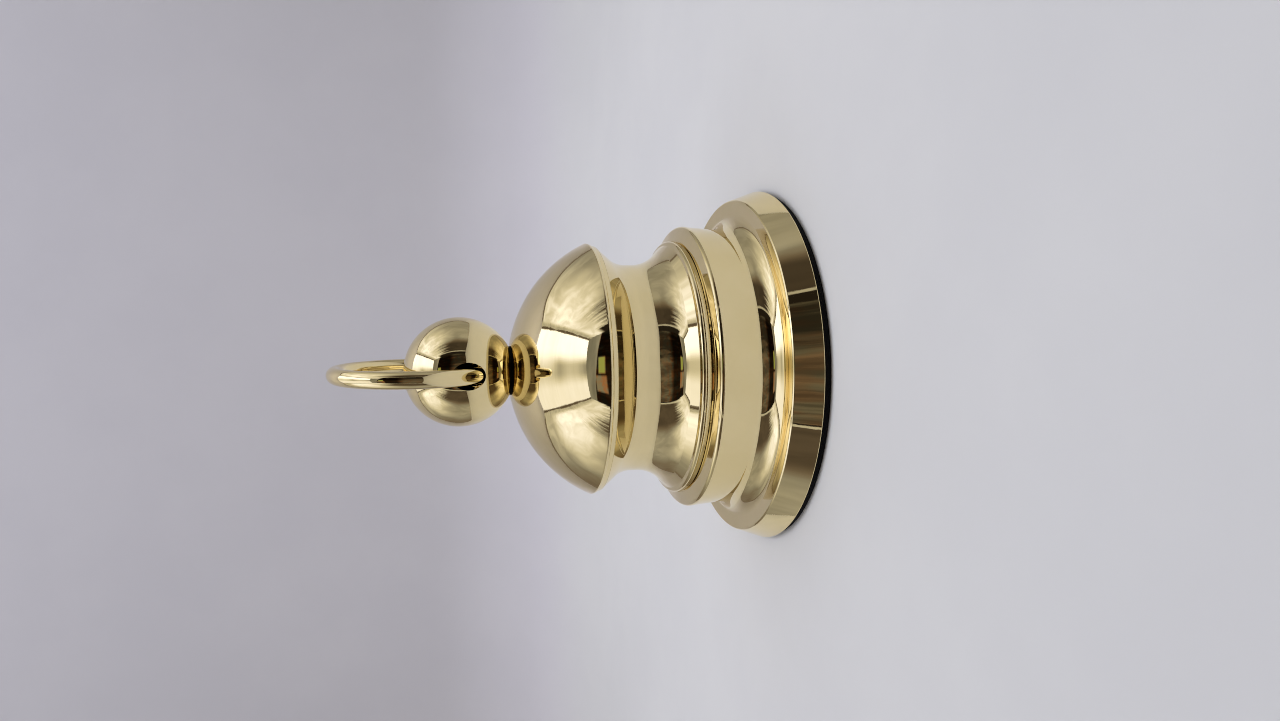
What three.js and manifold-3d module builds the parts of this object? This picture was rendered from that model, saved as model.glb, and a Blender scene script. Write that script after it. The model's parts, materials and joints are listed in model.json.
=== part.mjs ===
// A flat-based brass plumb bob: a weighted drum base, a waisted body, a domed cap and a ball head
// that turns on its spindle and carries a suspension ring.
// Millimetres, +Z up, origin at the centre of the pad's underside.
import * as THREE from "three";
import { mergeVertices } from "three/addons/utils/BufferGeometryUtils.js";
import Module from "manifold-3d";

const wasm = await Module();
wasm.setup();

// ---- Driving dimensions -------------------------------------------------------------------
const TURNED_SIDES = 40; // facets round the large turned pieces
const SMALL_SIDES = 24; // facets round bolts, bores and other small round pieces
const FIT_GAP = 0.3; // all-round clearance where one piece sits inside another

// Pad under the base
const PAD_RADIUS = 49;
const PAD_TOP = 2;

// Base shell: a conical rim, a ledge, a cove and the drum
const BASE_RADIUS = 50;
const RIM_TOP_RADIUS = 47.35;
const RIM_TOP = 9;
const LEDGE_OUTER_RADIUS = 47;
const LEDGE_OUTER_TOP = 9.3;
const COVE_RADIUS = 6.2;
const COVE_CENTRE_Z = 15;
const DRUM_FOOT_RADIUS = 39;
const DRUM_TOP_RADIUS = 39.75;
const SHOULDER_RADIUS = 1.2;
const SHOULDER_CENTRE_Z = 24;
const SEAT_RADIUS = 35.7; // recess in the top of the drum that locates the waist
const SEAT_LIP = 26.1;
const SEAT_Z = 25.6;
const DECK_UNDERSIDE = 21.6; // underside of the drum's top wall
const DRUM_BORE = 34;
const PLATE_SEAT_RADIUS = 45.3;
const PLATE_SEAT_Z = 6;

// Base plate and its screws
const PLATE_RADIUS = PLATE_SEAT_RADIUS - FIT_GAP;
const PLATE_UNDERSIDE = PAD_TOP + 0.2;
const SCREW_COUNT = 4;
const SCREW_CIRCLE = 38.2;
const SCREW_RADIUS = 2; // M4
const SCREW_HEAD_RADIUS = 4;
const SCREW_HEAD_DEPTH = 2.2;
const SCREW_TIP = 9.6;
const TAPPED_DEPTH = 10.2; // height that the tapped holes reach

// Tie bolt, washer and nut that clamp the stack
const TIE_RADIUS = 4; // M8
const TIE_HOLE = TIE_RADIUS + FIT_GAP;
const TIE_HEAD_RADIUS = 8;
const TIE_HEAD_TOP = 4.8;
const TIE_TOP = 53.5;
const HEX_SOCKET_FLATS = 5;
const HEX_SOCKET_DEPTH = 1.4;
const TIE_WASHER_RADIUS = 10;
const TIE_WASHER_THICKNESS = 1.6;
const NUT_FLATS = 13; // across flats
const NUT_HEIGHT = 6.5;

// Ballast slugs
const LOWER_BALLAST_RADIUS = DRUM_BORE - FIT_GAP;
const LOWER_BALLAST_TOP = 21;
const UPPER_BALLAST_TOP = 44;

// Waist
const WAIST_FOOT_RADIUS = 35.4;
const BEAD_RADIUS = 1;
const BEAD_CENTRE_RADIUS = 34.6;
const BEAD_CENTRE_Z = 27.6;
const FLARE_EDGE_RADIUS = 34.4;
const FLARE_EDGE_Z = 28.7;
const WAIST_RADIUS = 28.95;
const SCOTIA_RADIUS = 11.4; // hollow below the waist
const SCOTIA_TOP = 38.7;
const THROAT_RADIUS = 8.4; // hollow above the waist
const THROAT_BOTTOM = 40.5;
const WAIST_TOP_RADIUS = 34.2;
const WAIST_TOP = 49.8;
const WAIST_FLOOR = 30;
const WAIST_BORE = 24.4;
const SPIGOT_RADIUS = 27.5; // spigot that the cap screws onto
const SPIGOT_TOP = 53.4;

// Domed cap
const CAP_CENTRE_RADIUS = 0.3; // centre of the dome's arc, off the axis
const CAP_CENTRE_Z = 34.8;
const CAP_ARC = 38.5;
const CAP_WALL = 5;
const CAP_RIM_ARC = 0.9;
const CAP_RIM_CENTRE_RADIUS = 33.94;
const CAP_RIM_CENTRE_Z = 51.65;
const CAP_RIM_END = 34.75; // radius where the rim's rounding meets the dome
const CAP_LAND_RADIUS = 7.2; // flat land that the head's washer rests on
const BOSS_RADIUS = 12;
const BOSS_UNDERSIDE = 64.5;
const BUSH_OUTER = 6.2;
const BUSH_INNER = 4.08; // running fit on the spindle

// Ball head
const BALL_RADIUS = 14.87;
const BALL_CENTRE_Z = 86.4;
const BALL_SEAT_Z = 73.2;
const SPINDLE_RADIUS = 4;
const SPINDLE_END = 56.4;
const RING_HOLE_RADIUS = 3.6;
const RING_HOLE_SLOPE = THREE.MathUtils.degToRad(29); // each half is drilled down to the middle
const RING_HOLE_PAST_MIDDLE = 1.6; // how far each half runs on beyond the axis
const RING_HOLE_MOUTH_RADIUS = 14.8; // distance of the hole's mouth from the axis
const RING_HOLE_MOUTH_Z = 85.2;
const THRUST_WASHER_RADIUS = 6.7;

// Castle nut, washer and split pin that keep the spindle
const KEEPER_WASHER_RADIUS = 9;
const KEEPER_WASHER_TOP = BOSS_UNDERSIDE - 0.1;
const KEEPER_WASHER_THICKNESS = 1.4;
const CASTLE_NUT_BOTTOM = 57.3;
const CASTLE_SLOT_DEPTH = 2.4;
const CASTLE_SLOT_WIDTH = 2.2;
const SPLIT_PIN_RADIUS = 0.8;
const SPLIT_PIN_HOLE = 1.15;
const SPLIT_PIN_Z = 58.5;
const SPLIT_PIN_REACH = 8.2; // how far the pin stands out on each side of the axis

// Suspension ring
const RING_RADIUS = 20.1; // to the middle of the wire
const RING_WIRE = 2.25;
const RING_CENTRE_Z = 98.65;

// ---- Materials ----------------------------------------------------------------------------
const brass = () => new THREE.MeshStandardMaterial({ color: 0xc9ae6b, roughness: 0.08, metalness: 1 });
const steel = () => new THREE.MeshStandardMaterial({ color: 0x9a9b9d, roughness: 0.35, metalness: 1 });
const iron = () => new THREE.MeshStandardMaterial({ color: 0x4a4a4c, roughness: 0.7, metalness: 0.6 });
const bronze = () => new THREE.MeshStandardMaterial({ color: 0x9a6b3a, roughness: 0.4, metalness: 1 });
const felt = () => new THREE.MeshStandardMaterial({ color: 0x0c0c0d, roughness: 0.95, metalness: 0 });

// ---- Shape helpers ------------------------------------------------------------------------
const HALF_TURN = Math.PI;
const QUARTER_TURN = Math.PI / 2;
const degrees = THREE.MathUtils.degToRad;

// Points on an arc in the (radius, height) plane, from one angle to another, both included.
function arc(centreRadius, centreZ, radius, fromDegrees, toDegrees, steps) {
  const points = [];
  for (let i = 0; i <= steps; i++) {
    const angle = degrees(fromDegrees + ((toDegrees - fromDegrees) * i) / steps);
    points.push([centreRadius + radius * Math.cos(angle), centreZ + radius * Math.sin(angle)]);
  }
  return points;
}

// A turned solid from its outline of [radius, z] points, listed anticlockwise with the axis on the left.
// An outline that leaves the axis is closed on itself.
function turned(outline, sides = TURNED_SIDES) {
  const points = outline.map(([radius, z]) => new THREE.Vector2(radius, z));
  const [first, last] = [points[0], points[points.length - 1]];
  if (first.x > 0 || last.x > 0) points.push(first.clone());
  return new THREE.LatheGeometry(points, sides).rotateX(QUARTER_TURN);
}

// A plain disc or tube: outer and inner radius, bottom and top.
function tube(outer, inner, bottom, top, sides = SMALL_SIDES) {
  return turned([[inner, bottom], [outer, bottom], [outer, top], [inner, top]], sides);
}

function prism(radius, bottom, top, sides = SMALL_SIDES) {
  return turned([[0, bottom], [radius, bottom], [radius, top], [0, top]], sides);
}

// A hexagonal prism from its width across flats.
function hexagon(flats, bottom, top) {
  return prism(flats / 2 / Math.cos(HALF_TURN / 6), bottom, top, 6);
}

function toSolid(geometry) {
  const plain = (geometry.index ? geometry.toNonIndexed() : geometry).clone();
  plain.deleteAttribute("normal");
  plain.deleteAttribute("uv");
  const merged = mergeVertices(plain, 1e-4);
  const corners = merged.index.array;
  const kept = [];
  for (let i = 0; i < corners.length; i += 3) {
    const [a, b, c] = [corners[i], corners[i + 1], corners[i + 2]];
    if (a !== b && b !== c && c !== a) kept.push(a, b, c);
  }
  return new wasm.Manifold(
    new wasm.Mesh({
      numProp: 3,
      vertProperties: merged.attributes.position.array,
      triVerts: new Uint32Array(kept),
    }),
  );
}

function toGeometry(solid) {
  const { vertProperties, triVerts } = solid.getMesh();
  const geometry = new THREE.BufferGeometry();
  geometry.setAttribute("position", new THREE.BufferAttribute(vertProperties, 3));
  geometry.setIndex(new THREE.BufferAttribute(triVerts, 1));
  const flat = geometry.toNonIndexed();
  flat.computeVertexNormals();
  return flat;
}

// One geometry with the others cut out of it.
function cut(geometry, cutters) {
  const left = cutters.reduce((solid, cutter) => solid.subtract(toSolid(cutter)), toSolid(geometry));
  return toGeometry(left);
}

function join(geometries) {
  const [first, ...rest] = geometries.map(toSolid);
  return toGeometry(rest.reduce((solid, next) => solid.add(next), first));
}

const bob = new THREE.Group();

function piece(name, geometry, material) {
  const mesh = new THREE.Mesh(geometry, material);
  mesh.name = name;
  bob.add(mesh);
}

// A copy of the geometry for each screw, moved out to the screw circle.
function aroundScrewCircle(makeGeometry) {
  return Array.from({ length: SCREW_COUNT }, (_, i) => {
    const angle = (2 * HALF_TURN * (i + 0.5)) / SCREW_COUNT;
    return makeGeometry().translate(SCREW_CIRCLE * Math.cos(angle), SCREW_CIRCLE * Math.sin(angle), 0);
  });
}

// ---- Base ---------------------------------------------------------------------------------
function baseShell() {
  const coveCentre = DRUM_FOOT_RADIUS + COVE_RADIUS;
  const shoulderCentre = DRUM_TOP_RADIUS - SHOULDER_RADIUS;
  const outline = [
    [PLATE_SEAT_RADIUS, PAD_TOP],
    [BASE_RADIUS, PAD_TOP],
    [RIM_TOP_RADIUS, RIM_TOP],
    [LEDGE_OUTER_RADIUS, LEDGE_OUTER_TOP],
    ...arc(coveCentre, COVE_CENTRE_Z, COVE_RADIUS, 248, 180, 5),
    ...arc(shoulderCentre, SHOULDER_CENTRE_Z, SHOULDER_RADIUS, 0, 75, 3),
    [SEAT_RADIUS, SEAT_LIP],
    [SEAT_RADIUS, SEAT_Z],
    [TIE_HOLE, SEAT_Z],
    [TIE_HOLE, DECK_UNDERSIDE],
    [DRUM_BORE, DECK_UNDERSIDE],
    [DRUM_BORE, PLATE_SEAT_Z],
    [PLATE_SEAT_RADIUS, PLATE_SEAT_Z],
  ];
  const tappedHole = () => prism(SCREW_RADIUS + 0.1, PLATE_SEAT_Z - 1, TAPPED_DEPTH, 12);
  return cut(turned(outline), aroundScrewCircle(tappedHole));
}

function basePlate() {
  const boltPocket = prism(TIE_HEAD_RADIUS + FIT_GAP, PLATE_UNDERSIDE - 1, TIE_HEAD_TOP);
  const plate = tube(PLATE_RADIUS, TIE_HOLE, PLATE_UNDERSIDE, PLATE_SEAT_Z, TURNED_SIDES);
  const headTop = PLATE_UNDERSIDE + SCREW_HEAD_DEPTH;
  const countersink = () =>
    turned(
      [
        [0, PLATE_UNDERSIDE - 1],
        [SCREW_HEAD_RADIUS + 0.2, PLATE_UNDERSIDE - 1],
        [SCREW_HEAD_RADIUS + 0.2, PLATE_UNDERSIDE],
        [SCREW_RADIUS + 0.2, headTop],
        [SCREW_RADIUS + 0.2, PLATE_SEAT_Z + 1],
        [0, PLATE_SEAT_Z + 1],
      ],
      12,
    );
  return cut(plate, [boltPocket, ...aroundScrewCircle(countersink)]);
}

function plateScrew() {
  const headTop = PLATE_UNDERSIDE + SCREW_HEAD_DEPTH;
  const screw = turned(
    [
      [0, PLATE_UNDERSIDE],
      [SCREW_HEAD_RADIUS, PLATE_UNDERSIDE],
      [SCREW_RADIUS, headTop],
      [SCREW_RADIUS, SCREW_TIP - 0.8],
      [SCREW_RADIUS - 0.8, SCREW_TIP],
      [0, SCREW_TIP],
    ],
    12,
  );
  const slot = new THREE.BoxGeometry(2 * SCREW_HEAD_RADIUS + 1, 1, 1.6).translate(0, 0, PLATE_UNDERSIDE);
  return cut(screw, [slot]);
}

piece("base_pad", prism(PAD_RADIUS, 0, PAD_TOP, TURNED_SIDES), felt());
piece("base_shell", baseShell(), brass());
piece("base_plate", basePlate(), steel());
aroundScrewCircle(plateScrew).forEach((geometry, i) => piece(`plate_screw_${i + 1}`, geometry, steel()));
piece(
  "lower_ballast",
  tube(LOWER_BALLAST_RADIUS, TIE_HOLE + FIT_GAP, PLATE_SEAT_Z, LOWER_BALLAST_TOP, TURNED_SIDES),
  iron(),
);

// ---- Waist --------------------------------------------------------------------------------
function waistBody() {
  return turned([
    [TIE_HOLE, SEAT_Z],
    [WAIST_FOOT_RADIUS, SEAT_Z],
    ...arc(BEAD_CENTRE_RADIUS, BEAD_CENTRE_Z, BEAD_RADIUS, -30, 70, 4),
    [FLARE_EDGE_RADIUS, FLARE_EDGE_Z],
    ...arc(WAIST_RADIUS + SCOTIA_RADIUS, SCOTIA_TOP, SCOTIA_RADIUS, 225, 180, 5),
    ...arc(WAIST_RADIUS + THROAT_RADIUS, THROAT_BOTTOM, THROAT_RADIUS, 180, 139, 4),
    [WAIST_TOP_RADIUS, WAIST_TOP],
    [SPIGOT_RADIUS, WAIST_TOP],
    [SPIGOT_RADIUS, SPIGOT_TOP],
    [WAIST_BORE, SPIGOT_TOP],
    [WAIST_BORE, WAIST_FLOOR],
    [TIE_HOLE, WAIST_FLOOR],
  ]);
}

piece("waist_body", waistBody(), brass());
piece(
  "upper_ballast",
  tube(WAIST_BORE - FIT_GAP, TIE_HOLE + FIT_GAP, WAIST_FLOOR, UPPER_BALLAST_TOP, TURNED_SIDES),
  iron(),
);

// ---- Tie bolt -----------------------------------------------------------------------------
function tieBolt() {
  const bolt = turned(
    [
      [0, PLATE_UNDERSIDE],
      [TIE_HEAD_RADIUS, PLATE_UNDERSIDE],
      [TIE_HEAD_RADIUS, TIE_HEAD_TOP],
      [TIE_RADIUS, TIE_HEAD_TOP],
      [TIE_RADIUS, TIE_TOP - 1],
      [TIE_RADIUS - 1, TIE_TOP],
      [0, TIE_TOP],
    ],
    SMALL_SIDES,
  );
  return cut(bolt, [hexagon(HEX_SOCKET_FLATS, PLATE_UNDERSIDE - 1, PLATE_UNDERSIDE + HEX_SOCKET_DEPTH)]);
}

const TIE_NUT_BOTTOM = UPPER_BALLAST_TOP + TIE_WASHER_THICKNESS;
piece("tie_bolt", tieBolt(), steel());
piece("tie_washer", tube(TIE_WASHER_RADIUS, TIE_HOLE, UPPER_BALLAST_TOP, TIE_NUT_BOTTOM), steel());
piece(
  "tie_nut",
  cut(hexagon(NUT_FLATS, TIE_NUT_BOTTOM, TIE_NUT_BOTTOM + NUT_HEIGHT), [
    prism(TIE_RADIUS + 0.1, TIE_NUT_BOTTOM - 1, TIE_NUT_BOTTOM + NUT_HEIGHT + 1),
  ]),
  steel(),
);

// ---- Domed cap ----------------------------------------------------------------------------
// Height of the dome's arc at a radius, for the outer surface or one set in from it.
function domeHeight(radius, inset = 0) {
  return CAP_CENTRE_Z + Math.sqrt((CAP_ARC - inset) ** 2 - (radius - CAP_CENTRE_RADIUS) ** 2);
}

// Points along the dome's arc between two radii, evenly spread in angle.
function domeArc(fromRadius, toRadius, inset, steps) {
  const angleAt = (radius) =>
    THREE.MathUtils.radToDeg(Math.acos((radius - CAP_CENTRE_RADIUS) / (CAP_ARC - inset)));
  const [from, to] = [angleAt(fromRadius), angleAt(toRadius)];
  return arc(CAP_CENTRE_RADIUS, CAP_CENTRE_Z, CAP_ARC - inset, from, to, steps);
}

const CAP_LAND_Z = domeHeight(CAP_LAND_RADIUS);

function domedCap() {
  return turned([
    [SPIGOT_RADIUS + FIT_GAP, WAIST_TOP],
    [WAIST_TOP_RADIUS, WAIST_TOP],
    ...arc(CAP_RIM_CENTRE_RADIUS, CAP_RIM_CENTRE_Z, CAP_RIM_ARC, -50, 10, 2),
    ...domeArc(CAP_RIM_END, CAP_LAND_RADIUS, 0, 10),
    [BUSH_OUTER, CAP_LAND_Z],
    [BUSH_OUTER, BOSS_UNDERSIDE],
    [BOSS_RADIUS, BOSS_UNDERSIDE],
    ...domeArc(BOSS_RADIUS, SPIGOT_RADIUS + FIT_GAP, CAP_WALL, 4),
  ]);
}

piece("domed_cap", domedCap(), brass());
piece("spindle_bush", tube(BUSH_OUTER - 0.1, BUSH_INNER, BOSS_UNDERSIDE, CAP_LAND_Z - 0.1, TURNED_SIDES), bronze());
piece(
  "thrust_washer",
  tube(THRUST_WASHER_RADIUS, BUSH_INNER + 0.2, CAP_LAND_Z, BALL_SEAT_Z - 0.05, TURNED_SIDES),
  felt(),
);

// ---- Ball head ----------------------------------------------------------------------------
// The ring's hole is drilled from both sides, sloping down to meet in the middle.
function ringHole() {
  const length = RING_HOLE_MOUTH_RADIUS / Math.cos(RING_HOLE_SLOPE) + 6;
  const middleZ = RING_HOLE_MOUTH_Z - RING_HOLE_MOUTH_RADIUS * Math.tan(RING_HOLE_SLOPE);
  return [0, HALF_TURN].map((side) =>
    new THREE.CylinderGeometry(RING_HOLE_RADIUS, RING_HOLE_RADIUS, length, SMALL_SIDES)
      .translate(0, length / 2 - RING_HOLE_PAST_MIDDLE, 0)
      .rotateX(RING_HOLE_SLOPE)
      .rotateZ(side)
      .translate(0, 0, middleZ),
  );
}

function ballHead() {
  const seatRadius = Math.sqrt(BALL_RADIUS ** 2 - (BALL_CENTRE_Z - BALL_SEAT_Z) ** 2);
  const seatAngle = -THREE.MathUtils.radToDeg(Math.acos(seatRadius / BALL_RADIUS));
  const outline = [
    [0, SPINDLE_END],
    [SPINDLE_RADIUS - 0.6, SPINDLE_END],
    [SPINDLE_RADIUS, SPINDLE_END + 0.6],
    [SPINDLE_RADIUS, BALL_SEAT_Z],
    ...arc(0, BALL_CENTRE_Z, BALL_RADIUS, seatAngle, 84, 14),
    [0, BALL_CENTRE_Z + BALL_RADIUS],
  ];
  const pinHole = new THREE.CylinderGeometry(SPLIT_PIN_HOLE, SPLIT_PIN_HOLE, 20, 12)
    .rotateZ(QUARTER_TURN)
    .translate(0, 0, SPLIT_PIN_Z);
  return cut(turned(outline), [...ringHole(), pinHole]);
}

function castleNut() {
  const bottom = CASTLE_NUT_BOTTOM;
  const top = KEEPER_WASHER_TOP - KEEPER_WASHER_THICKNESS;
  const slots = [0, 1, 2].map((i) =>
    new THREE.BoxGeometry(30, CASTLE_SLOT_WIDTH, 2 * CASTLE_SLOT_DEPTH)
      .rotateZ((i * HALF_TURN) / 3)
      .translate(0, 0, bottom),
  );
  return cut(hexagon(NUT_FLATS, bottom, top), [prism(SPINDLE_RADIUS + 0.1, bottom - 1, top + 1), ...slots]);
}

// The split pin: a straight shank, a round eye and two legs turned up round the nut.
function splitPin() {
  const rod = (length) => new THREE.CylinderGeometry(SPLIT_PIN_RADIUS, SPLIT_PIN_RADIUS, length, 8);
  const shank = rod(2 * SPLIT_PIN_REACH).rotateZ(QUARTER_TURN).translate(0, 0, SPLIT_PIN_Z);
  const eye = new THREE.TorusGeometry(1.5, SPLIT_PIN_RADIUS, 6, 12)
    .rotateX(QUARTER_TURN)
    .translate(-SPLIT_PIN_REACH - 1.2, 0, SPLIT_PIN_Z);
  const leg = rod(3.6).rotateX(QUARTER_TURN).translate(SPLIT_PIN_REACH, 0, SPLIT_PIN_Z);
  return join([shank, eye, leg]);
}

piece("ball_head", ballHead(), brass());
piece(
  "keeper_washer",
  tube(
    KEEPER_WASHER_RADIUS,
    SPINDLE_RADIUS + 0.1,
    KEEPER_WASHER_TOP - KEEPER_WASHER_THICKNESS,
    KEEPER_WASHER_TOP,
  ),
  steel(),
);
piece("castle_nut", castleNut(), steel());
piece("split_pin", splitPin(), steel());

// ---- Suspension ring ----------------------------------------------------------------------
piece(
  "suspension_ring",
  new THREE.TorusGeometry(RING_RADIUS, RING_WIRE, 12, 48).rotateY(QUARTER_TURN).translate(0, 0, RING_CENTRE_Z),
  brass(),
);

export default bob;
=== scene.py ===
"""A polished brass plumb bob on a pale floor in a white light tent.

Every turned piece is made here at a finer step than its CAD solid, from the same dimensions, with exact
normals, so that its mirror finish reflects cleanly. Lengths in the outlines are millimetres.
"""

import json
import math

import bmesh
import bpy
from mathutils import Matrix, Vector


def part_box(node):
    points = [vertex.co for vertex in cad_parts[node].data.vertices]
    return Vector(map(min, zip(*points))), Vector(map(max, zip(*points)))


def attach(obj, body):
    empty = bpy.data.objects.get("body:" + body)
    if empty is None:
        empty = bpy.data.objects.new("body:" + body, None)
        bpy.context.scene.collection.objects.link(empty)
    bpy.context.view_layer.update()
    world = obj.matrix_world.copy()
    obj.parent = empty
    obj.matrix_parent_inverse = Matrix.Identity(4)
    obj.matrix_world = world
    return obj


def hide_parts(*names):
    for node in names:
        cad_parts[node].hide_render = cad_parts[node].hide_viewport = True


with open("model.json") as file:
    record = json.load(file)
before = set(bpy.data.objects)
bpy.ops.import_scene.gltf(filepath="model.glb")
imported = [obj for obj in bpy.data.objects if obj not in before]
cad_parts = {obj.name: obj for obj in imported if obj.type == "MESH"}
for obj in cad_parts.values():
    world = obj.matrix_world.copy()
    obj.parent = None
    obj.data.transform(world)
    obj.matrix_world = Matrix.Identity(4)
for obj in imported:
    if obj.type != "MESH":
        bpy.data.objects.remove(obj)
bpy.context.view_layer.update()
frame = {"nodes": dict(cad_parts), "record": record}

MM = 0.001
SIDES = 256  # steps round a large turned piece
SMALL_SIDES = 96  # steps round a small one


def low(node):
    """Lowest corner of a CAD node, in millimetres."""
    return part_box(node)[0] / MM


def high(node):
    """Highest corner of a CAD node, in millimetres."""
    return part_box(node)[1] / MM


# ---- Outlines -------------------------------------------------------------------------------
class Line:
    def __init__(self, start, end):
        self.start, self.end = Vector(start), Vector(end)
        self.length = (self.end - self.start).length
        self.steps = 1

    def at(self, t):
        """Place and direction of travel, at a share t of the way along."""
        return self.start.lerp(self.end, t), (self.end - self.start).normalized()


class Arc:
    def __init__(self, centre, radius, from_degrees, to_degrees):
        self.centre, self.radius = Vector(centre), radius
        self.a, self.b = math.radians(from_degrees), math.radians(to_degrees)
        self.length = radius * abs(self.b - self.a)
        self.steps = max(3, math.ceil(abs(to_degrees - from_degrees) / 2.5))

    def at(self, t):
        angle = self.a + (self.b - self.a) * t
        out = Vector((math.cos(angle), math.sin(angle)))
        along = Vector((-out.y, out.x)) * (1 if self.b > self.a else -1)
        return self.centre + out * self.radius, along


def lines(points):
    return [Line(a, b) for a, b in zip(points, points[1:])]


def outline(parts, rounding, closed):
    """Points with their outward normals along the parts. rounding holds, for each corner between a part
    and the next, how much of both the round takes up."""
    count = len(parts)
    points = []
    for i, part in enumerate(parts):
        before = rounding[i - 1] if closed or i > 0 else 0
        after = rounding[i] if closed or i < count - 1 else 0
        start, end = before / part.length, 1 - after / part.length
        for k in range(part.steps + 1):
            points.append(part.at(start + (end - start) * k / part.steps))
        if after > 0:
            following = parts[(i + 1) % count]
            a, b = points[-1], following.at(after / following.length)
            corner = part.at(1)[0]
            for k in range(1, 5):
                t = k / 5
                first, second = a[0].lerp(corner, t), corner.lerp(b[0], t)
                points.append((first.lerp(second, t), (second - first).normalized()))
    return [(place, Vector((along.y, -along.x))) for place, along in points]


def turned(name, points, closed, sides=SIDES):
    """A mesh turned about the vertical axis from an outline, with the outline's own normals."""
    rings, samples = [], []
    for place, normal in points:
        if not rings or (place - rings[-1]).length > 1e-5:
            rings.append(place)
        samples.append((len(rings) - 1, normal))
    if closed and (rings[0] - rings[-1]).length <= 1e-5:
        last = len(rings) - 1
        rings.pop()
        samples = [(0 if ring == last else ring, normal) for ring, normal in samples]
    turns = [(math.cos(2 * math.pi * k / sides), math.sin(2 * math.pi * k / sides)) for k in range(sides)]
    verts, first = [], []
    for place in rings:
        first.append(len(verts))
        if place.x < 1e-6:
            verts.append((0, 0, place.y * MM))
        else:
            verts.extend((place.x * c * MM, place.x * s * MM, place.y * MM) for c, s in turns)
    faces, normals = [], []
    pairs = list(zip(samples, samples[1:]))
    if closed:
        pairs.append((samples[-1], samples[0]))
    for (i, n_i), (j, n_j) in pairs:
        if i == j:
            continue
        for k in range(sides):
            m = (k + 1) % sides
            corners = []
            for ring, normal, turn in ((i, n_i, k), (i, n_i, m), (j, n_j, m), (j, n_j, k)):
                pole = rings[ring].x < 1e-6
                vert = first[ring] + (0 if pole else turn)
                if corners and corners[-1][0] == vert:
                    continue
                c, s = turns[turn]
                corners.append((vert, (normal.x * c, normal.x * s, normal.y)))
            if corners[0][0] == corners[-1][0]:
                corners.pop()
            faces.append([vert for vert, _ in corners])
            normals.extend(normal for _, normal in corners)
    return finished_mesh(name, verts, faces, normals)


def finished_mesh(name, verts, faces, normals):
    """An object with one custom normal for each corner of each face."""
    mesh = bpy.data.meshes.new(name)
    mesh.from_pydata(verts, [], faces)
    mesh.update()
    mesh.shade_smooth()
    mesh.normals_split_custom_set(normals)
    obj = bpy.data.objects.new(name, mesh)
    bpy.context.scene.collection.objects.link(obj)
    return obj


def piece(obj, node, body, material):
    """Puts a finished mesh in the place of one CAD node."""
    obj.data.materials.clear()
    obj.data.materials.append(material)
    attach(obj, body)
    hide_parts(node)


# ---- Node helpers ---------------------------------------------------------------------------
class Nodes:
    """A node tree, with short ways to add to it."""

    def __init__(self, tree):
        self.tree = tree
        tree.nodes.clear()

    def add(self, kind, **settings):
        node = self.tree.nodes.new(kind)
        for key, value in settings.items():
            setattr(node, key, value)
        return node

    def put(self, value, socket):
        if isinstance(value, bpy.types.NodeSocket):
            self.tree.links.new(value, socket)
        else:
            socket.default_value = value

    def math(self, operation, *values):
        node = self.add("ShaderNodeMath", operation=operation)
        for value, socket in zip(values, node.inputs):
            self.put(value, socket)
        return node.outputs[0]

    def vector(self, operation, *values):
        node = self.add("ShaderNodeVectorMath", operation=operation)
        for value, socket in zip(values, node.inputs):
            self.put(value, socket)
        return node.outputs["Value" if operation == "LENGTH" else "Vector"]

    def ramp(self, value, low_in, high_in, low_out=0.0, high_out=1.0, smooth=True):
        """From one level to another as a value goes from low_in to high_in."""
        node = self.add("ShaderNodeMapRange")
        node.interpolation_type = "SMOOTHSTEP" if smooth else "LINEAR"
        limits = {"From Min": low_in, "From Max": high_in, "To Min": low_out, "To Max": high_out}
        for key, number in limits.items():
            node.inputs[key].default_value = number
        self.put(value, node.inputs["Value"])
        return node.outputs["Result"]

    def band(self, value, low_edge, high_edge, soft):
        """1 between two edges and 0 outside them, with soft steps."""
        rise = self.ramp(value, low_edge - soft, low_edge + soft)
        fall = self.ramp(value, high_edge - soft, high_edge + soft, 1.0, 0.0)
        return self.math("MULTIPLY", rise, fall)

    def mix(self, factor, a, b):
        """Between two numbers."""
        node = self.add("ShaderNodeMix", data_type="FLOAT")
        self.put(factor, node.inputs[0])
        self.put(a, node.inputs[2])
        self.put(b, node.inputs[3])
        return node.outputs[0]

    def mix_colour(self, factor, a, b, blend="MIX"):
        node = self.add("ShaderNodeMix", data_type="RGBA", blend_type=blend)
        self.put(factor, node.inputs[0])
        self.put(a, node.inputs[6])
        self.put(b, node.inputs[7])
        return node.outputs[2]

    def noise(self, vector, scale, detail=2.0, roughness=0.5, distortion=0.0):
        node = self.add("ShaderNodeTexNoise")
        self.put(vector, node.inputs["Vector"])
        node.inputs["Scale"].default_value = scale
        node.inputs["Detail"].default_value = detail
        node.inputs["Roughness"].default_value = roughness
        node.inputs["Distortion"].default_value = distortion
        return node.outputs["Fac"]

    def bump(self, height, strength, distance, normal=None):
        node = self.add("ShaderNodeBump")
        node.inputs["Strength"].default_value = strength
        node.inputs["Distance"].default_value = distance
        self.put(height, node.inputs["Height"])
        if normal is not None:
            self.put(normal, node.inputs["Normal"])
        return node.outputs["Normal"]

    def split_vector(self, vector):
        node = self.add("ShaderNodeSeparateXYZ")
        self.put(vector, node.inputs[0])
        return node.outputs

    def join_vector(self, x, y, z):
        node = self.add("ShaderNodeCombineXYZ")
        for value, socket in zip((x, y, z), node.inputs):
            self.put(value, socket)
        return node.outputs[0]

    def place(self):
        """The object's own coordinates, in metres."""
        return self.add("ShaderNodeTexCoord").outputs["Object"]


def new_material(name):
    material = bpy.data.materials.new(name)
    material.use_nodes = True
    nodes = Nodes(material.node_tree)
    shader = nodes.add("ShaderNodeBsdfPrincipled")
    output = nodes.add("ShaderNodeOutputMaterial")
    nodes.tree.links.new(shader.outputs[0], output.inputs["Surface"])
    return material, nodes, shader


RADIUS_SHARE = 0.83  # how much a step in radius counts as travel along the outline, against one in height


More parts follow.
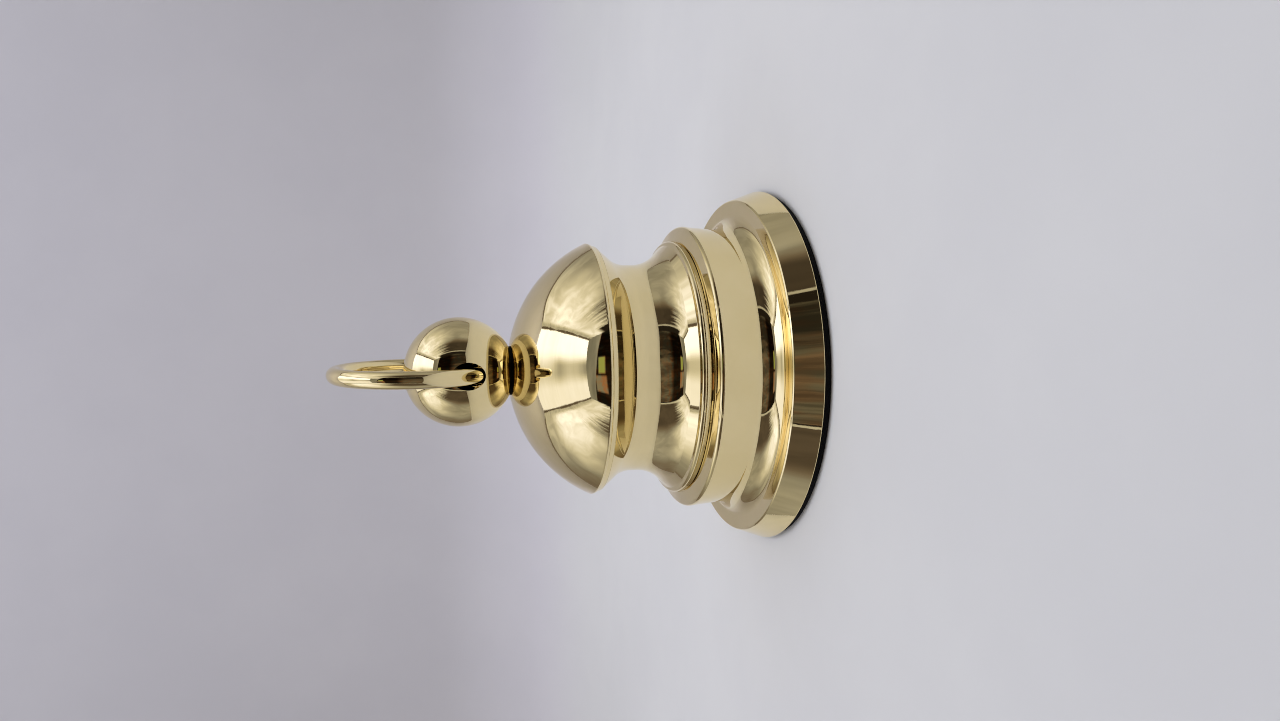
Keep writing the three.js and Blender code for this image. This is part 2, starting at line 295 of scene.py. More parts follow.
def turned_coordinates(nodes, place, round_scale, along_scale):
    """Coordinates that run round the vertical axis at one scale and along the outline at another."""
    x, y, z = nodes.split_vector(place)
    flat = nodes.join_vector(x, y, 0.0)
    radius = nodes.vector("LENGTH", flat)
    unit = nodes.split_vector(nodes.vector("NORMALIZE", flat))
    travel = nodes.math("MULTIPLY_ADD", radius, -RADIUS_SHARE, z)
    return nodes.join_vector(
        nodes.math("MULTIPLY", unit[0], round_scale),
        nodes.math("MULTIPLY", unit[1], round_scale),
        nodes.math("MULTIPLY", travel, along_scale),
    )


# ---- Materials ------------------------------------------------------------------------------
BRASS_LIGHT = (0.89, 0.745, 0.415, 1)
BRASS_DEEP = (0.865, 0.715, 0.375, 1)
BRASS_HAZE = 0.5  # how much of the clouds' and wipe marks' dullness is left after buffing
BRASS_ROUGHNESS = 0.012


def brass_material(name, is_turned):
    """Lathe-turned and buffed brass: faint rings, fine wipe marks, a slow waviness and a little haze."""
    material, nodes, shader = new_material(name)
    place = nodes.place()
    if is_turned:
        rings_at = turned_coordinates(nodes, place, 1.2, 2600)
        wipes_at = turned_coordinates(nodes, place, 90, 220)
    else:
        rings_at = nodes.vector("MULTIPLY", place, (900, 900, 900))
        wipes_at = nodes.vector("MULTIPLY", place, (1500, 900, 300))
    rings = nodes.noise(rings_at, 1.0, 3, 0.6)
    wipes = nodes.noise(wipes_at, 1.0, 5, 0.65, 0.6)
    waves = nodes.noise(place, 95, 1, 0.4)
    patches = nodes.noise(place, 55, 4, 0.6)
    tone = nodes.ramp(patches, 0.3, 0.7)
    nodes.put(nodes.mix_colour(tone, BRASS_LIGHT, BRASS_DEEP), shader.inputs["Base Color"])
    shader.inputs["Metallic"].default_value = 1.0
    cloud = nodes.ramp(patches, 0.42, 0.78, 0.0, 0.03 * BRASS_HAZE)
    streak = nodes.ramp(wipes, 0.5, 0.85, 0.0, 0.1 * BRASS_HAZE)
    rough = nodes.math("ADD", nodes.math("ADD", cloud, streak), BRASS_ROUGHNESS)
    nodes.put(rough, shader.inputs["Roughness"])
    normal = nodes.bump(waves, 0.13, 0.0006)
    normal = nodes.bump(rings, 0.04, 0.00002, normal)
    normal = nodes.bump(wipes, 0.08, 0.00002, normal)
    nodes.put(normal, shader.inputs["Normal"])
    return material


def steel_material():
    """Machined steel with cutting lines and a few duller stains."""
    material, nodes, shader = new_material("steel_machined")
    place = nodes.place()
    cut = nodes.noise(turned_coordinates(nodes, place, 3, 3000), 1.0, 3, 0.6)
    stain = nodes.noise(place, 160, 4, 0.6)
    clean, dull = (0.56, 0.57, 0.58, 1), (0.42, 0.42, 0.42, 1)
    nodes.put(nodes.mix_colour(nodes.ramp(stain, 0.35, 0.7), clean, dull), shader.inputs["Base Color"])
    shader.inputs["Metallic"].default_value = 1.0
    nodes.put(nodes.ramp(cut, 0.25, 0.75, 0.26, 0.42), shader.inputs["Roughness"])
    nodes.put(nodes.bump(cut, 0.25, 0.00003), shader.inputs["Normal"])
    return material


def iron_material():
    """Rough cast iron with a little rust."""
    material, nodes, shader = new_material("iron_cast")
    place = nodes.place()
    grain = nodes.noise(place, 900, 5, 0.65)
    rust = nodes.noise(place, 110, 5, 0.6)
    skin, rusty = (0.13, 0.13, 0.135, 1), (0.16, 0.09, 0.06, 1)
    nodes.put(nodes.mix_colour(nodes.ramp(rust, 0.55, 0.75), skin, rusty), shader.inputs["Base Color"])
    shader.inputs["Metallic"].default_value = 0.7
    nodes.put(nodes.ramp(grain, 0.3, 0.7, 0.55, 0.8), shader.inputs["Roughness"])
    nodes.put(nodes.bump(grain, 0.6, 0.0002), shader.inputs["Normal"])
    return material


def bronze_material():
    """Turned bronze, stained darker in places."""
    material, nodes, shader = new_material("bronze_bearing")
    place = nodes.place()
    cut = nodes.noise(turned_coordinates(nodes, place, 3, 2400), 1.0, 3, 0.6)
    stain = nodes.noise(place, 200, 4, 0.6)
    clean, dull = (0.55, 0.36, 0.19, 1), (0.42, 0.25, 0.12, 1)
    nodes.put(nodes.mix_colour(nodes.ramp(stain, 0.3, 0.7), clean, dull), shader.inputs["Base Color"])
    shader.inputs["Metallic"].default_value = 1.0
    nodes.put(nodes.ramp(cut, 0.25, 0.75, 0.28, 0.45), shader.inputs["Roughness"])
    nodes.put(nodes.bump(cut, 0.25, 0.00003), shader.inputs["Normal"])
    return material


def felt_material():
    """Black felt: fine fibres, matted in patches."""
    material, nodes, shader = new_material("felt_black")
    place = nodes.place()
    fibres = nodes.noise(place, 2600, 6, 0.75, 1.5)
    matted = nodes.noise(place, 240, 3, 0.6)
    shaded, raised = (0.003, 0.003, 0.0035, 1), (0.012, 0.0115, 0.012, 1)
    nodes.put(nodes.mix_colour(nodes.ramp(fibres, 0.35, 0.75), shaded, raised), shader.inputs["Base Color"])
    nodes.put(nodes.ramp(matted, 0.3, 0.7, 0.85, 1.0), shader.inputs["Roughness"])
    shader.inputs["Sheen Weight"].default_value = 0.04
    shader.inputs["Specular IOR Level"].default_value = 0.1
    shader.inputs["Sheen Roughness"].default_value = 0.6
    nodes.put(nodes.bump(fibres, 0.7, 0.0002), shader.inputs["Normal"])
    return material


brass_turned = brass_material("brass_turned", True)
brass_ring = brass_material("brass_ring", False)
steel = steel_material()
felt = felt_material()

# ---- Base -----------------------------------------------------------------------------------
PAD_TOP = high("base_pad").z
PAD_RADIUS = high("base_pad").x
PAD_BULGE = 0.2
BASE_RADIUS = high("base_shell").x
BOLT_HOLE_RADIUS = 4.3
WAIST_SEAT_Z = 25.6  # the waist stands on the base here


def base_shell():
    """Conical rim, ledge, cove and drum outside; a web, a cavity and the plate's recess inside."""
    rim_top, ledge_edge = (47.35, 9), (47, 9.3)
    cove = Arc((45.2, 15), 6.2, 248, 180)
    shoulder = Arc((38.55, 24), 1.2, 0, 75)
    lip_radius, lip_z = 35.7, 26.1
    web_underside = 21.6
    cavity_radius = 34
    recess_radius, recess_z = 45.3, 6
    parts = [
        *lines([(recess_radius, PAD_TOP), (BASE_RADIUS, PAD_TOP), rim_top, ledge_edge, cove.at(0)[0]]),
        cove,
        Line(cove.at(1)[0], shoulder.at(0)[0]),
        shoulder,
        Line(shoulder.at(1)[0], (lip_radius, lip_z)),
        *lines([(lip_radius, lip_z), (lip_radius, WAIST_SEAT_Z), (BOLT_HOLE_RADIUS, WAIST_SEAT_Z)]),
        *lines([(BOLT_HOLE_RADIUS, WAIST_SEAT_Z), (BOLT_HOLE_RADIUS, web_underside)]),
        *lines([(BOLT_HOLE_RADIUS, web_underside), (cavity_radius, web_underside)]),
        *lines([(cavity_radius, web_underside), (cavity_radius, recess_z), (recess_radius, recess_z)]),
        Line((recess_radius, recess_z), (recess_radius, PAD_TOP)),
    ]
    rounding = [0.3, 0.12, 0.15, 0.6, 0, 0, 0, 0.15, 0, 0, 0, 0, 0, 0, 0]
    return turned("base_shell_brass", outline(parts, rounding, True), True)


def base_pad():
    """A disc whose edge bulges a little under the weight."""
    edge = [(PAD_RADIUS, 0), (PAD_RADIUS + PAD_BULGE, PAD_TOP / 2), (PAD_RADIUS, PAD_TOP)]
    parts = lines([(0, 0), *edge, (0, PAD_TOP)])
    return turned("base_pad_felt", outline(parts, [0.4, 0.5, 0.3, 0], False), False)


piece(base_shell(), "base_shell", "bob", brass_turned)
piece(base_pad(), "base_pad", "bob", felt)


# ---- Waist ----------------------------------------------------------------------------------
CAP_SEAT_RADIUS, CAP_SEAT_Z = 34.2, 49.8  # the cap stands on the waist here


def waist_body():
    """A bead and two hollows outside, and a spigot for the cap round the bore on top."""
    foot_radius = 35.4
    bead = Arc((34.6, 27.6), 1, -30, 70)
    step = (34.4, 28.7)
    scotia = Arc((40.35, 38.7), 11.4, 225, 180)
    throat = Arc((37.35, 40.5), 8.4, 180, 139)
    spigot_radius, spigot_z = 27.5, 53.4
    bore_radius, bore_floor = 24.4, 30
    parts = [
        *lines([(BOLT_HOLE_RADIUS, WAIST_SEAT_Z), (foot_radius, WAIST_SEAT_Z), bead.at(0)[0]]),
        bead,
        *lines([bead.at(1)[0], step, scotia.at(0)[0]]),
        scotia,
        Line(scotia.at(1)[0], throat.at(0)[0]),
        throat,
        *lines([throat.at(1)[0], (CAP_SEAT_RADIUS, CAP_SEAT_Z), (spigot_radius, CAP_SEAT_Z)]),
        *lines([(spigot_radius, CAP_SEAT_Z), (spigot_radius, spigot_z), (bore_radius, spigot_z)]),
        *lines([(bore_radius, spigot_z), (bore_radius, bore_floor), (BOLT_HOLE_RADIUS, bore_floor)]),
        Line((BOLT_HOLE_RADIUS, bore_floor), (BOLT_HOLE_RADIUS, WAIST_SEAT_Z)),
    ]
    rounding = [0, 0, 0.08, 0.2, 0, 0, 0, 0, 0.1, 0, 0, 0, 0, 0, 0]
    return turned("waist_body_brass", outline(parts, rounding, True), True)


piece(waist_body(), "waist_body", "bob", brass_turned)


# ---- Domed cap ------------------------------------------------------------------------------
DOME_CENTRE, DOME_RADIUS = (0.3, 34.8), 38.5
DOME_WALL = 5
DOME_FOOT_RADIUS = 34.75


def dome_arc(from_radius, to_radius, inset):
    """The dome's arc, or one parallel to it further in, between two distances from the axis."""
    radius = DOME_RADIUS - inset
    angles = [math.degrees(math.acos((r - DOME_CENTRE[0]) / radius)) for r in (from_radius, to_radius)]
    return Arc(DOME_CENTRE, radius, *angles)


def domed_cap():
    """A domed shell with a sharp rim. A boss hangs in it round the spindle's hole."""
    rim = Arc((33.94, 51.65), 0.9, -50, 10)
    land_radius, hole_radius = 7.2, 6.2
    boss_radius, boss_underside = 12, 64.5
    socket_radius = 27.8
    dome = dome_arc(DOME_FOOT_RADIUS, land_radius, 0)
    inside = dome_arc(boss_radius, socket_radius, DOME_WALL)
    land = dome.at(1)[0].y
    parts = [
        *lines([(socket_radius, CAP_SEAT_Z), (CAP_SEAT_RADIUS, CAP_SEAT_Z), rim.at(0)[0]]),
        rim,
        Line(rim.at(1)[0], dome.at(0)[0]),
        dome,
        *lines([(land_radius, land), (hole_radius, land), (hole_radius, boss_underside)]),
        *lines([(hole_radius, boss_underside), (boss_radius, boss_underside), inside.at(0)[0]]),
        inside,
        Line(inside.at(1)[0], (socket_radius, CAP_SEAT_Z)),
    ]
    rounding = [0.1, 0, 0, 0, 0.1, 0, 0, 0, 0, 0, 0]
    return turned("domed_cap_brass", outline(parts, rounding, True), True)


piece(domed_cap(), "domed_cap", "bob", brass_turned)


def thrust_washer():
    """The thin black ring between cap and ball. Its black is partly painted shade: it stands in for the
    dark seam there.
    """
    bottom, top, radius = low("thrust_washer").z, high("thrust_washer").z, high("thrust_washer").x
    bore = 4.28
    parts = lines([(bore, bottom), (radius, bottom), (radius, top), (bore, top), (bore, bottom)])
    # The washer's black felt also serves as painted shade for the dark seam under the ball.
    return turned("thrust_washer_felt_and_shade", outline(parts, [0, 0.08, 0.08, 0], True), True, SMALL_SIDES)


piece(thrust_washer(), "thrust_washer", "bob", felt)

# ---- Ball head ------------------------------------------------------------------------------
BALL_CENTRE_Z = 86.4
BALL_RADIUS = high("ball_head").z - BALL_CENTRE_Z
BALL_SEAT_Z = 73.2
SPINDLE_RADIUS, SPINDLE_CHAMFER = 4, 0.6
PIN_HOLE_RADIUS, PIN_HOLE_Z = 1.15, 58.5
PIN_HOLE_REACH = 10
HOLE_RADIUS = 3.6
HOLE_SLOPE = math.radians(29)
HOLE_MOUTH_RADIUS, HOLE_MOUTH_Z = 14.8, 85.2
HOLE_START, HOLE_END = -1.6, 22  # each half's cut runs from past the middle to outside the ball


def hole_line(side):
    """A point on the axis and the direction of the half hole that comes out on one side."""
    middle = Vector((0, 0, HOLE_MOUTH_Z - HOLE_MOUTH_RADIUS * math.tan(HOLE_SLOPE)))
    return middle, Vector((0, side * math.cos(HOLE_SLOPE), math.sin(HOLE_SLOPE)))


def cutter(middle, direction, radius, start, end):
    """A plain rod along a line, to cut with."""
    mesh = bpy.data.meshes.new("cutter")
    build = bmesh.new()
    turn = direction.to_track_quat("Z", "Y").to_matrix().to_4x4()
    at = (middle + direction * (start + end) / 2) * MM
    bmesh.ops.create_cone(
        build,
        cap_ends=True,
        segments=SMALL_SIDES,
        radius1=radius * MM,
        radius2=radius * MM,
        depth=(end - start) * MM,
        matrix=Matrix.Translation(at) @ turn,
    )
    build.to_mesh(mesh)
    build.free()
    obj = bpy.data.objects.new("cutter", mesh)
    bpy.context.scene.collection.objects.link(obj)
    return obj


def cut_away(obj, cutters):
    """Cuts the rods out of an object and removes them."""
    for tool in cutters:
        modifier = obj.modifiers.new("cut", "BOOLEAN")
        modifier.operation, modifier.solver, modifier.object = "DIFFERENCE", "EXACT", tool
    bpy.context.view_layer.update()
    evaluated = obj.evaluated_get(bpy.context.evaluated_depsgraph_get())
    mesh = bpy.data.meshes.new_from_object(evaluated)
    obj.modifiers.clear()
    obj.data = mesh
    for tool in cutters:
        bpy.data.objects.remove(tool)


def ball_head():
    """The ball and its spindle, drilled for the ring from both sides and for the split pin."""
    seat_radius = math.sqrt(BALL_RADIUS**2 - (BALL_CENTRE_Z - BALL_SEAT_Z) ** 2)
    seat_angle = -math.degrees(math.acos(seat_radius / BALL_RADIUS))
    bottom = low("ball_head").z
    tip = [(SPINDLE_RADIUS - SPINDLE_CHAMFER, bottom), (SPINDLE_RADIUS, bottom + SPINDLE_CHAMFER)]
    parts = [
        *lines([(0, bottom), *tip, (SPINDLE_RADIUS, BALL_SEAT_Z), (seat_radius, BALL_SEAT_Z)]),
        Arc((0, BALL_CENTRE_Z), BALL_RADIUS, seat_angle, 90),
    ]
    head = turned("ball_head_brass", outline(parts, [0, 0, 0, 0, 0.25, 0], False), False)
    holes = [hole_line(side) for side in (1, -1)]
    tools = [cutter(middle, direction, HOLE_RADIUS, HOLE_START, HOLE_END) for middle, direction in holes]
    pin_middle, pin_direction = Vector((0, 0, PIN_HOLE_Z)), Vector((1, 0, 0))
    tools.append(cutter(pin_middle, pin_direction, PIN_HOLE_RADIUS, -PIN_HOLE_REACH, PIN_HOLE_REACH))
    cut_away(head, tools)
    give_ball_normals(head.data, holes)
    return head


def give_ball_normals(mesh, holes):
    """Sets the exact normals of the ball and of its holes, which the cut has left to the faces."""
    centre = Vector((0, 0, BALL_CENTRE_Z))
    ball_near, hole_near = 0.01, 0.02  # how far a face's middle may be from the surface it belongs to
    above_seat = BALL_SEAT_Z + 0.3
    normals = []
    for face in mesh.polygons:
        middle = face.center / MM
        on_ball = abs((middle - centre).length - BALL_RADIUS) < ball_near and middle.z > above_seat
        in_hole = None
        for start, direction in holes:
            away = middle - start
            sideways = away - direction * away.dot(direction)
            if abs(sideways.length - HOLE_RADIUS) < hole_near and middle.z > BALL_SEAT_Z:
                in_hole = (start, direction)
        for vert in face.vertices:
            place = mesh.vertices[vert].co / MM
            if on_ball:
                normals.append((place - centre).normalized())
            elif in_hole:
                away = place - in_hole[0]
                normals.append(-(away - in_hole[1] * away.dot(in_hole[1])).normalized())
            else:
                normals.append(face.normal)
    mesh.shade_smooth()
    mesh.normals_split_custom_set(normals)


piece(ball_head(), "ball_head", "head", brass_turned)


# ---- Suspension ring ------------------------------------------------------------------------
def suspension_ring():
    """A round ring of round wire that stands across the x axis."""
    lowest, highest = low("suspension_ring"), high("suspension_ring")
    wire = highest.x
    centre_z, radius = (lowest.z + highest.z) / 2, (highest.z - lowest.z) / 2 - wire
    around, across = 256, 48
    verts, normals_at = [], []
    for i in range(around):
        a = 2 * math.pi * i / around
        out = Vector((0, math.cos(a), math.sin(a)))
        for j in range(across):
            b = 2 * math.pi * j / across
            normal = out * math.cos(b) + Vector((1, 0, 0)) * math.sin(b)
            verts.append((out * radius + normal * wire + Vector((0, 0, centre_z))) * MM)
            normals_at.append(normal)
    faces, normals = [], []
    for i in range(around):
        for j in range(across):
            k, m = (i + 1) % around, (j + 1) % across
            corners = [i * across + j, k * across + j, k * across + m, i * across + m]
            faces.append(corners)
            normals.extend(normals_at[c] for c in corners)
    return finished_mesh("suspension_ring_brass", verts, faces, normals)


piece(suspension_ring(), "suspension_ring", "ring", brass_ring)

# ---- Hidden CAD nodes: their own solids with a finish ---------------------------------------
FINISHES = {"steel": steel, "iron": iron_material(), "bronze": bronze_material()}
for entry in frame["record"]["subparts"]:
    node = frame["nodes"][entry["node"]]
    if entry["material_slot"] in FINISHES and not node.hide_render:
        node.data.materials.clear()
        node.data.materials.append(FINISHES[entry["material_slot"]])

# ---- Stage ----------------------------------------------------------------------------------
VIEW_TURN = math.radians(5.3)  # the camera and the tent stand this far round to the right
TENT_SIDE = 0.33  # half the width
TENT_FRONT, TENT_BACK = -0.44, 0.31
TENT_TOP = 0.786
SWEEP_RADIUS = 0.085
CAMERA_LINING = 0.003  # how far inside the tent the cloth stands that only the camera sees
SKIN = 0.001  # the step that tells the ceiling and the front from the side walls

# Where the light on the tent's inside changes. Heights marked h are measured from LOOK_HEIGHT.
LOOK_HEIGHT = 0.08
CORNER_SEAM = 0.288, 0.32  # y of the dark seam at the back corners
HEM_DIMS = 0.645, 0.72  # the side walls dim towards their top hem
HEM_LINE = 0.752, 0.758  # the dark line above the hem
EDGE_LEFT, EDGE_RIGHT = -0.416, -0.352  # y of the side walls' lit edges at the open front
EDGE_FADES = 0.40, 0.48  # h where the lit edges end
ROOM_DARKENS = 0.09, 0.2  # h
PANEL_X, PANEL_H = (-0.21, -0.06), (0.37, 0.52)  # a pale panel in the dark room
LAMP_X, LAMP_H = (-0.04, 0.09), (0.385, 0.475)  # a yellow lamp beside it
VALANCE_H, VALANCE_SLOPE = (0.50, 0.52), 0.15  # the cloth that hangs over the front, not quite level
CEILING_STRIP = 0.02, 0.17  # off the middle: the plainer strip turns into bright cloth
CEILING_SEAM = 0.320, 0.324  # off the middle: the dark seam along the side walls
SEAM_LEVEL = 0.16
SEAM_WAVE = 0.004
WHITE = (1, 1, 1, 1)


def stage_object(name, mesh, material, camera=True, others=True):
    """A part of the set. It can be hidden from the camera, or from everything else."""
    obj = bpy.data.objects.new(name, mesh)
    bpy.context.scene.collection.objects.link(obj)
    obj.rotation_euler.z = VIEW_TURN
    mesh.materials.append(material)
    obj.visible_camera = camera
    obj.visible_diffuse = obj.visible_glossy = obj.visible_shadow = obj.visible_transmission = others


def plain_mesh(name, verts, faces):
    mesh = bpy.data.meshes.new(name)
    mesh.from_pydata(verts, [], faces)
    mesh.update()
    return mesh


def sweep_mesh():
    """The paper floor that curves up into the back."""
    foot = TENT_BACK - SWEEP_RADIUS
    bend = [math.radians(a) for a in range(0, 91, 5)]
    curve = [(foot + SWEEP_RADIUS * math.sin(a), SWEEP_RADIUS * (1 - math.cos(a))) for a in bend]
    profile = [(TENT_FRONT, 0), *curve, (TENT_BACK, TENT_TOP)]
    verts = [(side * TENT_SIDE, y, z) for y, z in profile for side in (-1, 1)]
    faces = [(2 * i, 2 * i + 1, 2 * i + 3, 2 * i + 2) for i in range(len(profile) - 1)]
    mesh = plain_mesh("sweep", verts, faces)
    mesh.shade_smooth()
    return mesh


def box_mesh(name, side, front, back, bottom, top, with_ends):
    """The inside of a box without a floor, or only its sides and front."""
    corners = [(-side, front), (side, front), (side, back), (-side, back)]
    verts = [(x, y, z) for z in (bottom, top) for x, y in corners]
    faces = [(3, 0, 4, 7), (0, 1, 5, 4), (1, 2, 6, 5)]
    if with_ends:
        faces += [(2, 3, 7, 6), (4, 5, 6, 7)]
    return plain_mesh(name, verts, faces)


def emission_material(name):
    material = bpy.data.materials.new(name)
    material.use_nodes = True
    nodes = Nodes(material.node_tree)
    glow = nodes.add("ShaderNodeEmission")
    output = nodes.add("ShaderNodeOutputMaterial")
    nodes.tree.links.new(glow.outputs[0], output.inputs["Surface"])
    return material, nodes, glow


def drawn_noise(nodes, across, scale, still, height, height_scale, detail, roughness, distortion):
    """Noise at one scale across a wall and at another up it."""
    at = nodes.join_vector(
        nodes.math("MULTIPLY", across, scale), still, nodes.math("MULTIPLY", height, height_scale)
    )
    return nodes.noise(at, 1.0, detail, roughness, distortion)


class TentPlace:
    """Where a point of the tent's inside is, with the streaks and folds of the cloth there."""

    def __init__(self, nodes):
        self.place = nodes.place()
        self.x, self.y, self.z = nodes.split_vector(self.place)
        self.h = nodes.math("SUBTRACT", self.z, LOOK_HEIGHT)
        self.right = nodes.ramp(self.x, -0.05, 0.05)
        self.streaks = drawn_noise(nodes, self.y, 60.0, self.x, self.z, 3.0, 4, 0.6, 0.5)
        self.folds = drawn_noise(nodes, self.y, 9.0, self.x, self.z, 6.0, 3, 0.55, 0.7)


def side_wall_level(nodes, at):
    """Side walls: brighter with height, dim low down towards the front and a little towards the back,
    with lit edges at the open front."""
    level = nodes.ramp(at.h, 0.03, 0.27, 0.38, 1.0)
    level = nodes.math("ADD", level, nodes.ramp(at.h, 0.25, 0.42, 0.0, 0.3))
    ragged = nodes.math("ADD", at.h, nodes.ramp(at.streaks, 0.3, 0.7, -0.07, 0.07))
    front = nodes.ramp(ragged, 0.15, 0.42)
    front = nodes.math("MAXIMUM", front, nodes.mix(at.right, 0.08, 0.05))
    level = nodes.mix(nodes.ramp(at.y, -0.19, -0.06, 1.0, 0.0), level, front)
    back = nodes.mix(at.right, 0.45, 0.75)
    level = nodes.math("MULTIPLY", level, nodes.mix(nodes.ramp(at.y, 0.04, 0.2), 1.0, back))
    level = nodes.math("MULTIPLY", level, nodes.ramp(at.folds, 0.3, 0.7, 0.78, 1.12))
    level = nodes.mix(nodes.band(at.y, *CORNER_SEAM, 0.004), level, SEAM_LEVEL)

    hem_height = nodes.math("ADD", at.z, nodes.ramp(at.folds, 0.3, 0.7, -0.014, 0.014))
    hem_level = nodes.ramp(at.streaks, 0.3, 0.7, 0.42, 0.62)
    level = nodes.mix(nodes.ramp(hem_height, *HEM_DIMS), level, hem_level)
    level = nodes.mix(nodes.ramp(hem_height, *HEM_LINE), level, 0.10)

    from_edge = nodes.math("SUBTRACT", at.y, nodes.mix(at.right, EDGE_LEFT, EDGE_RIGHT))
    below = nodes.ramp(at.h, *EDGE_FADES, 1.0, 0.0)
    lit = nodes.math("MULTIPLY", nodes.band(from_edge, -0.008, 0.012, 0.003), below)
    level = nodes.mix(nodes.math("MULTIPLY", lit, 0.9), level, nodes.mix(at.right, 0.6, 0.5))
    beyond = nodes.ramp(from_edge, -0.012, -0.008, 1.0, 0.0)
    return nodes.mix(nodes.math("MULTIPLY", beyond, below), level, 0.015)


def room_level(nodes, at, lamp, valance):
    """The open front: a dark room with a few paler things in it, under a valance of cloth."""
    clutter = drawn_noise(nodes, at.x, 26.0, at.y, at.z, 4.0, 3, 0.6, 0.3)
    left_part = nodes.ramp(clutter, 0.38, 0.66, 0.046, 0.1)
    right_part = nodes.ramp(clutter, 0.45, 0.7, 0.016, 0.055)
    level = nodes.mix(nodes.ramp(at.x, 0.03, 0.09), left_part, right_part)
    level = nodes.math("MULTIPLY", level, nodes.ramp(at.h, *ROOM_DARKENS, 1.45, 0.18))
    panel = nodes.math("MULTIPLY", nodes.band(at.x, *PANEL_X, 0.012), nodes.band(at.h, *PANEL_H, 0.012))
    level = nodes.mix(panel, level, 0.24)
    level = nodes.mix(lamp, level, 0.34)
    return nodes.mix(valance, level, nodes.ramp(at.streaks, 0.3, 0.7, 0.18, 0.34))


def ceiling_level(nodes, at):
    """The ceiling: a plainer strip down the middle between bright cloth, brighter to the back."""
    off_middle = nodes.math("ABSOLUTE", at.x)
    strip = nodes.mix(nodes.ramp(at.y, -0.08, 0.06), 0.47, nodes.mix(at.right, 0.75, 1.0))
    strip = nodes.math("MULTIPLY", strip, nodes.ramp(at.y, -0.44, -0.36, 0.75, 1.0))
    strip = nodes.math("ADD", strip, nodes.math("MULTIPLY", nodes.band(at.y, -0.34, -0.14, 0.06), 0.19))
    level = nodes.mix(nodes.ramp(off_middle, *CEILING_STRIP), strip, nodes.mix(at.right, 1.12, 1.75))
    level = nodes.math("MULTIPLY", level, nodes.ramp(at.folds, 0.25, 0.75, 0.93, 1.05))
    wavy = nodes.math("ADD", off_middle, nodes.ramp(at.folds, 0.3, 0.7, -SEAM_WAVE, SEAM_WAVE))
    return nodes.mix(nodes.ramp(wavy, *CEILING_SEAM), level, 0.14)


def room_colour(nodes, at, lamp, valance):
    """Grey with warmer patches, more of them higher up, and the yellow lamp."""
    warm = nodes.ramp(nodes.noise(at.place, 14, 2, 0.5), 0.42, 0.6)
    warm = nodes.math("MULTIPLY", warm, nodes.ramp(at.h, 0.03, 0.15, 0.4, 1.0))
    colour = nodes.mix_colour(warm, (1.0, 0.9, 0.75, 1), (1.4, 0.68, 0.36, 1))
    colour = nodes.mix_colour(lamp, colour, (0.95, 1.1, 0.35, 1))
    return nodes.mix_colour(valance, colour, WHITE)


def cloth_colour(nodes, level):
    """White cloth, cooler where it is bright and warmer where it is dim."""
    colour = nodes.mix_colour(nodes.ramp(level, 0.6, 1.3), (1.0, 0.99, 0.99, 1), (0.96, 1.0, 1.28, 1))
    return nodes.mix_colour(nodes.ramp(level, 0.08, 0.3, 1.0, 0.0), colour, (1.15, 0.92, 0.78, 1))


def tent_light():
    """What the polished brass sees: a bright ceiling, cloth side walls with folds and dark seams, and
    the dark room beyond the open front."""
    material, nodes, glow = emission_material("tent_light")
    at = TentPlace(nodes)
    lamp = nodes.math("MULTIPLY", nodes.band(at.x, *LAMP_X, 0.01), nodes.band(at.h, *LAMP_H, 0.012))
    valance = nodes.ramp(nodes.math("MULTIPLY_ADD", at.x, VALANCE_SLOPE, at.h), *VALANCE_H)
    is_ceiling = nodes.ramp(at.z, TENT_TOP - 2 * SKIN, TENT_TOP - SKIN)
    is_front = nodes.ramp(at.y, TENT_FRONT + SKIN, TENT_FRONT + 2 * SKIN, 1.0, 0.0)
    level = nodes.mix(is_front, side_wall_level(nodes, at), room_level(nodes, at, lamp, valance))
    level = nodes.mix(is_ceiling, level, ceiling_level(nodes, at))
    in_front = nodes.math("MULTIPLY", is_front, nodes.math("SUBTRACT", 1.0, is_ceiling))
    colour = nodes.mix_colour(in_front, cloth_colour(nodes, level), room_colour(nodes, at, lamp, valance))
    nodes.put(colour, glow.inputs["Color"])
    nodes.put(level, glow.inputs["Strength"])
    return material


def surround_material():
    """Pale cloth round the other three sides, for a camera that looks that way. Its brightness is painted
    light: it glows, brighter at its foot and darker higher up.
    """
    material, nodes, glow = emission_material("surround")
    place = nodes.place()
    # Painted light and shade: the glowing cloth is brighter at its foot, next to the lit floor, and darker
    # above it.
    foot = nodes.ramp(nodes.split_vector(place)[2], 0.0, 0.12)
    nodes.put(nodes.mix_colour(foot, (0.50, 0.505, 0.53, 1), (0.42, 0.41, 0.44, 1)), glow.inputs["Color"])
    nodes.put(nodes.ramp(nodes.noise(place, 9, 3, 0.5), 0.3, 0.7, 0.97, 1.03), glow.inputs["Strength"])
    return material


def sweep_material():
    """Slightly mottled white paper, with painted shade that makes it a little darker up its back, and a
    painted tint of the light that changes as it rises.
    """
    material, nodes, shader = new_material("sweep_paper")
    place = nodes.place()
    height = nodes.split_vector(place)[2]
    mottle = nodes.noise(place, 14, 4, 0.6)
    paper = nodes.mix_colour(nodes.ramp(mottle, 0.3, 0.7), (0.80, 0.80, 0.83, 1), (0.83, 0.83, 0.855, 1))
    # Painted shade: the paper is darker just above its foot and again further up the back. The painted tint
    # of the light turns from warm on the floor to cooler up the back.
    painted_shade_above_foot = nodes.ramp(height, 0, 0.04, 1.0, 0.92)
    painted_shade = nodes.math("MULTIPLY", painted_shade_above_foot, nodes.ramp(height, 0.05, 0.33, 1.0, 0.84, False))
    raised = nodes.ramp(height, 0.0, 0.03)
    painted_light_tint = nodes.mix_colour(raised, (0.975, 0.97, 0.905, 1), (0.985, 0.955, 0.945, 1))
    painted_light_tint = nodes.vector("MULTIPLY", painted_light_tint, painted_shade)
    nodes.put(nodes.mix_colour(1.0, paper, painted_light_tint, "MULTIPLY"), shader.inputs["Base Color"])
    nodes.put(nodes.ramp(mottle, 0.3, 0.7, 0.75, 0.85), shader.inputs["Roughness"])
    shader.inputs["Specular IOR Level"].default_value = 0.2
    return material


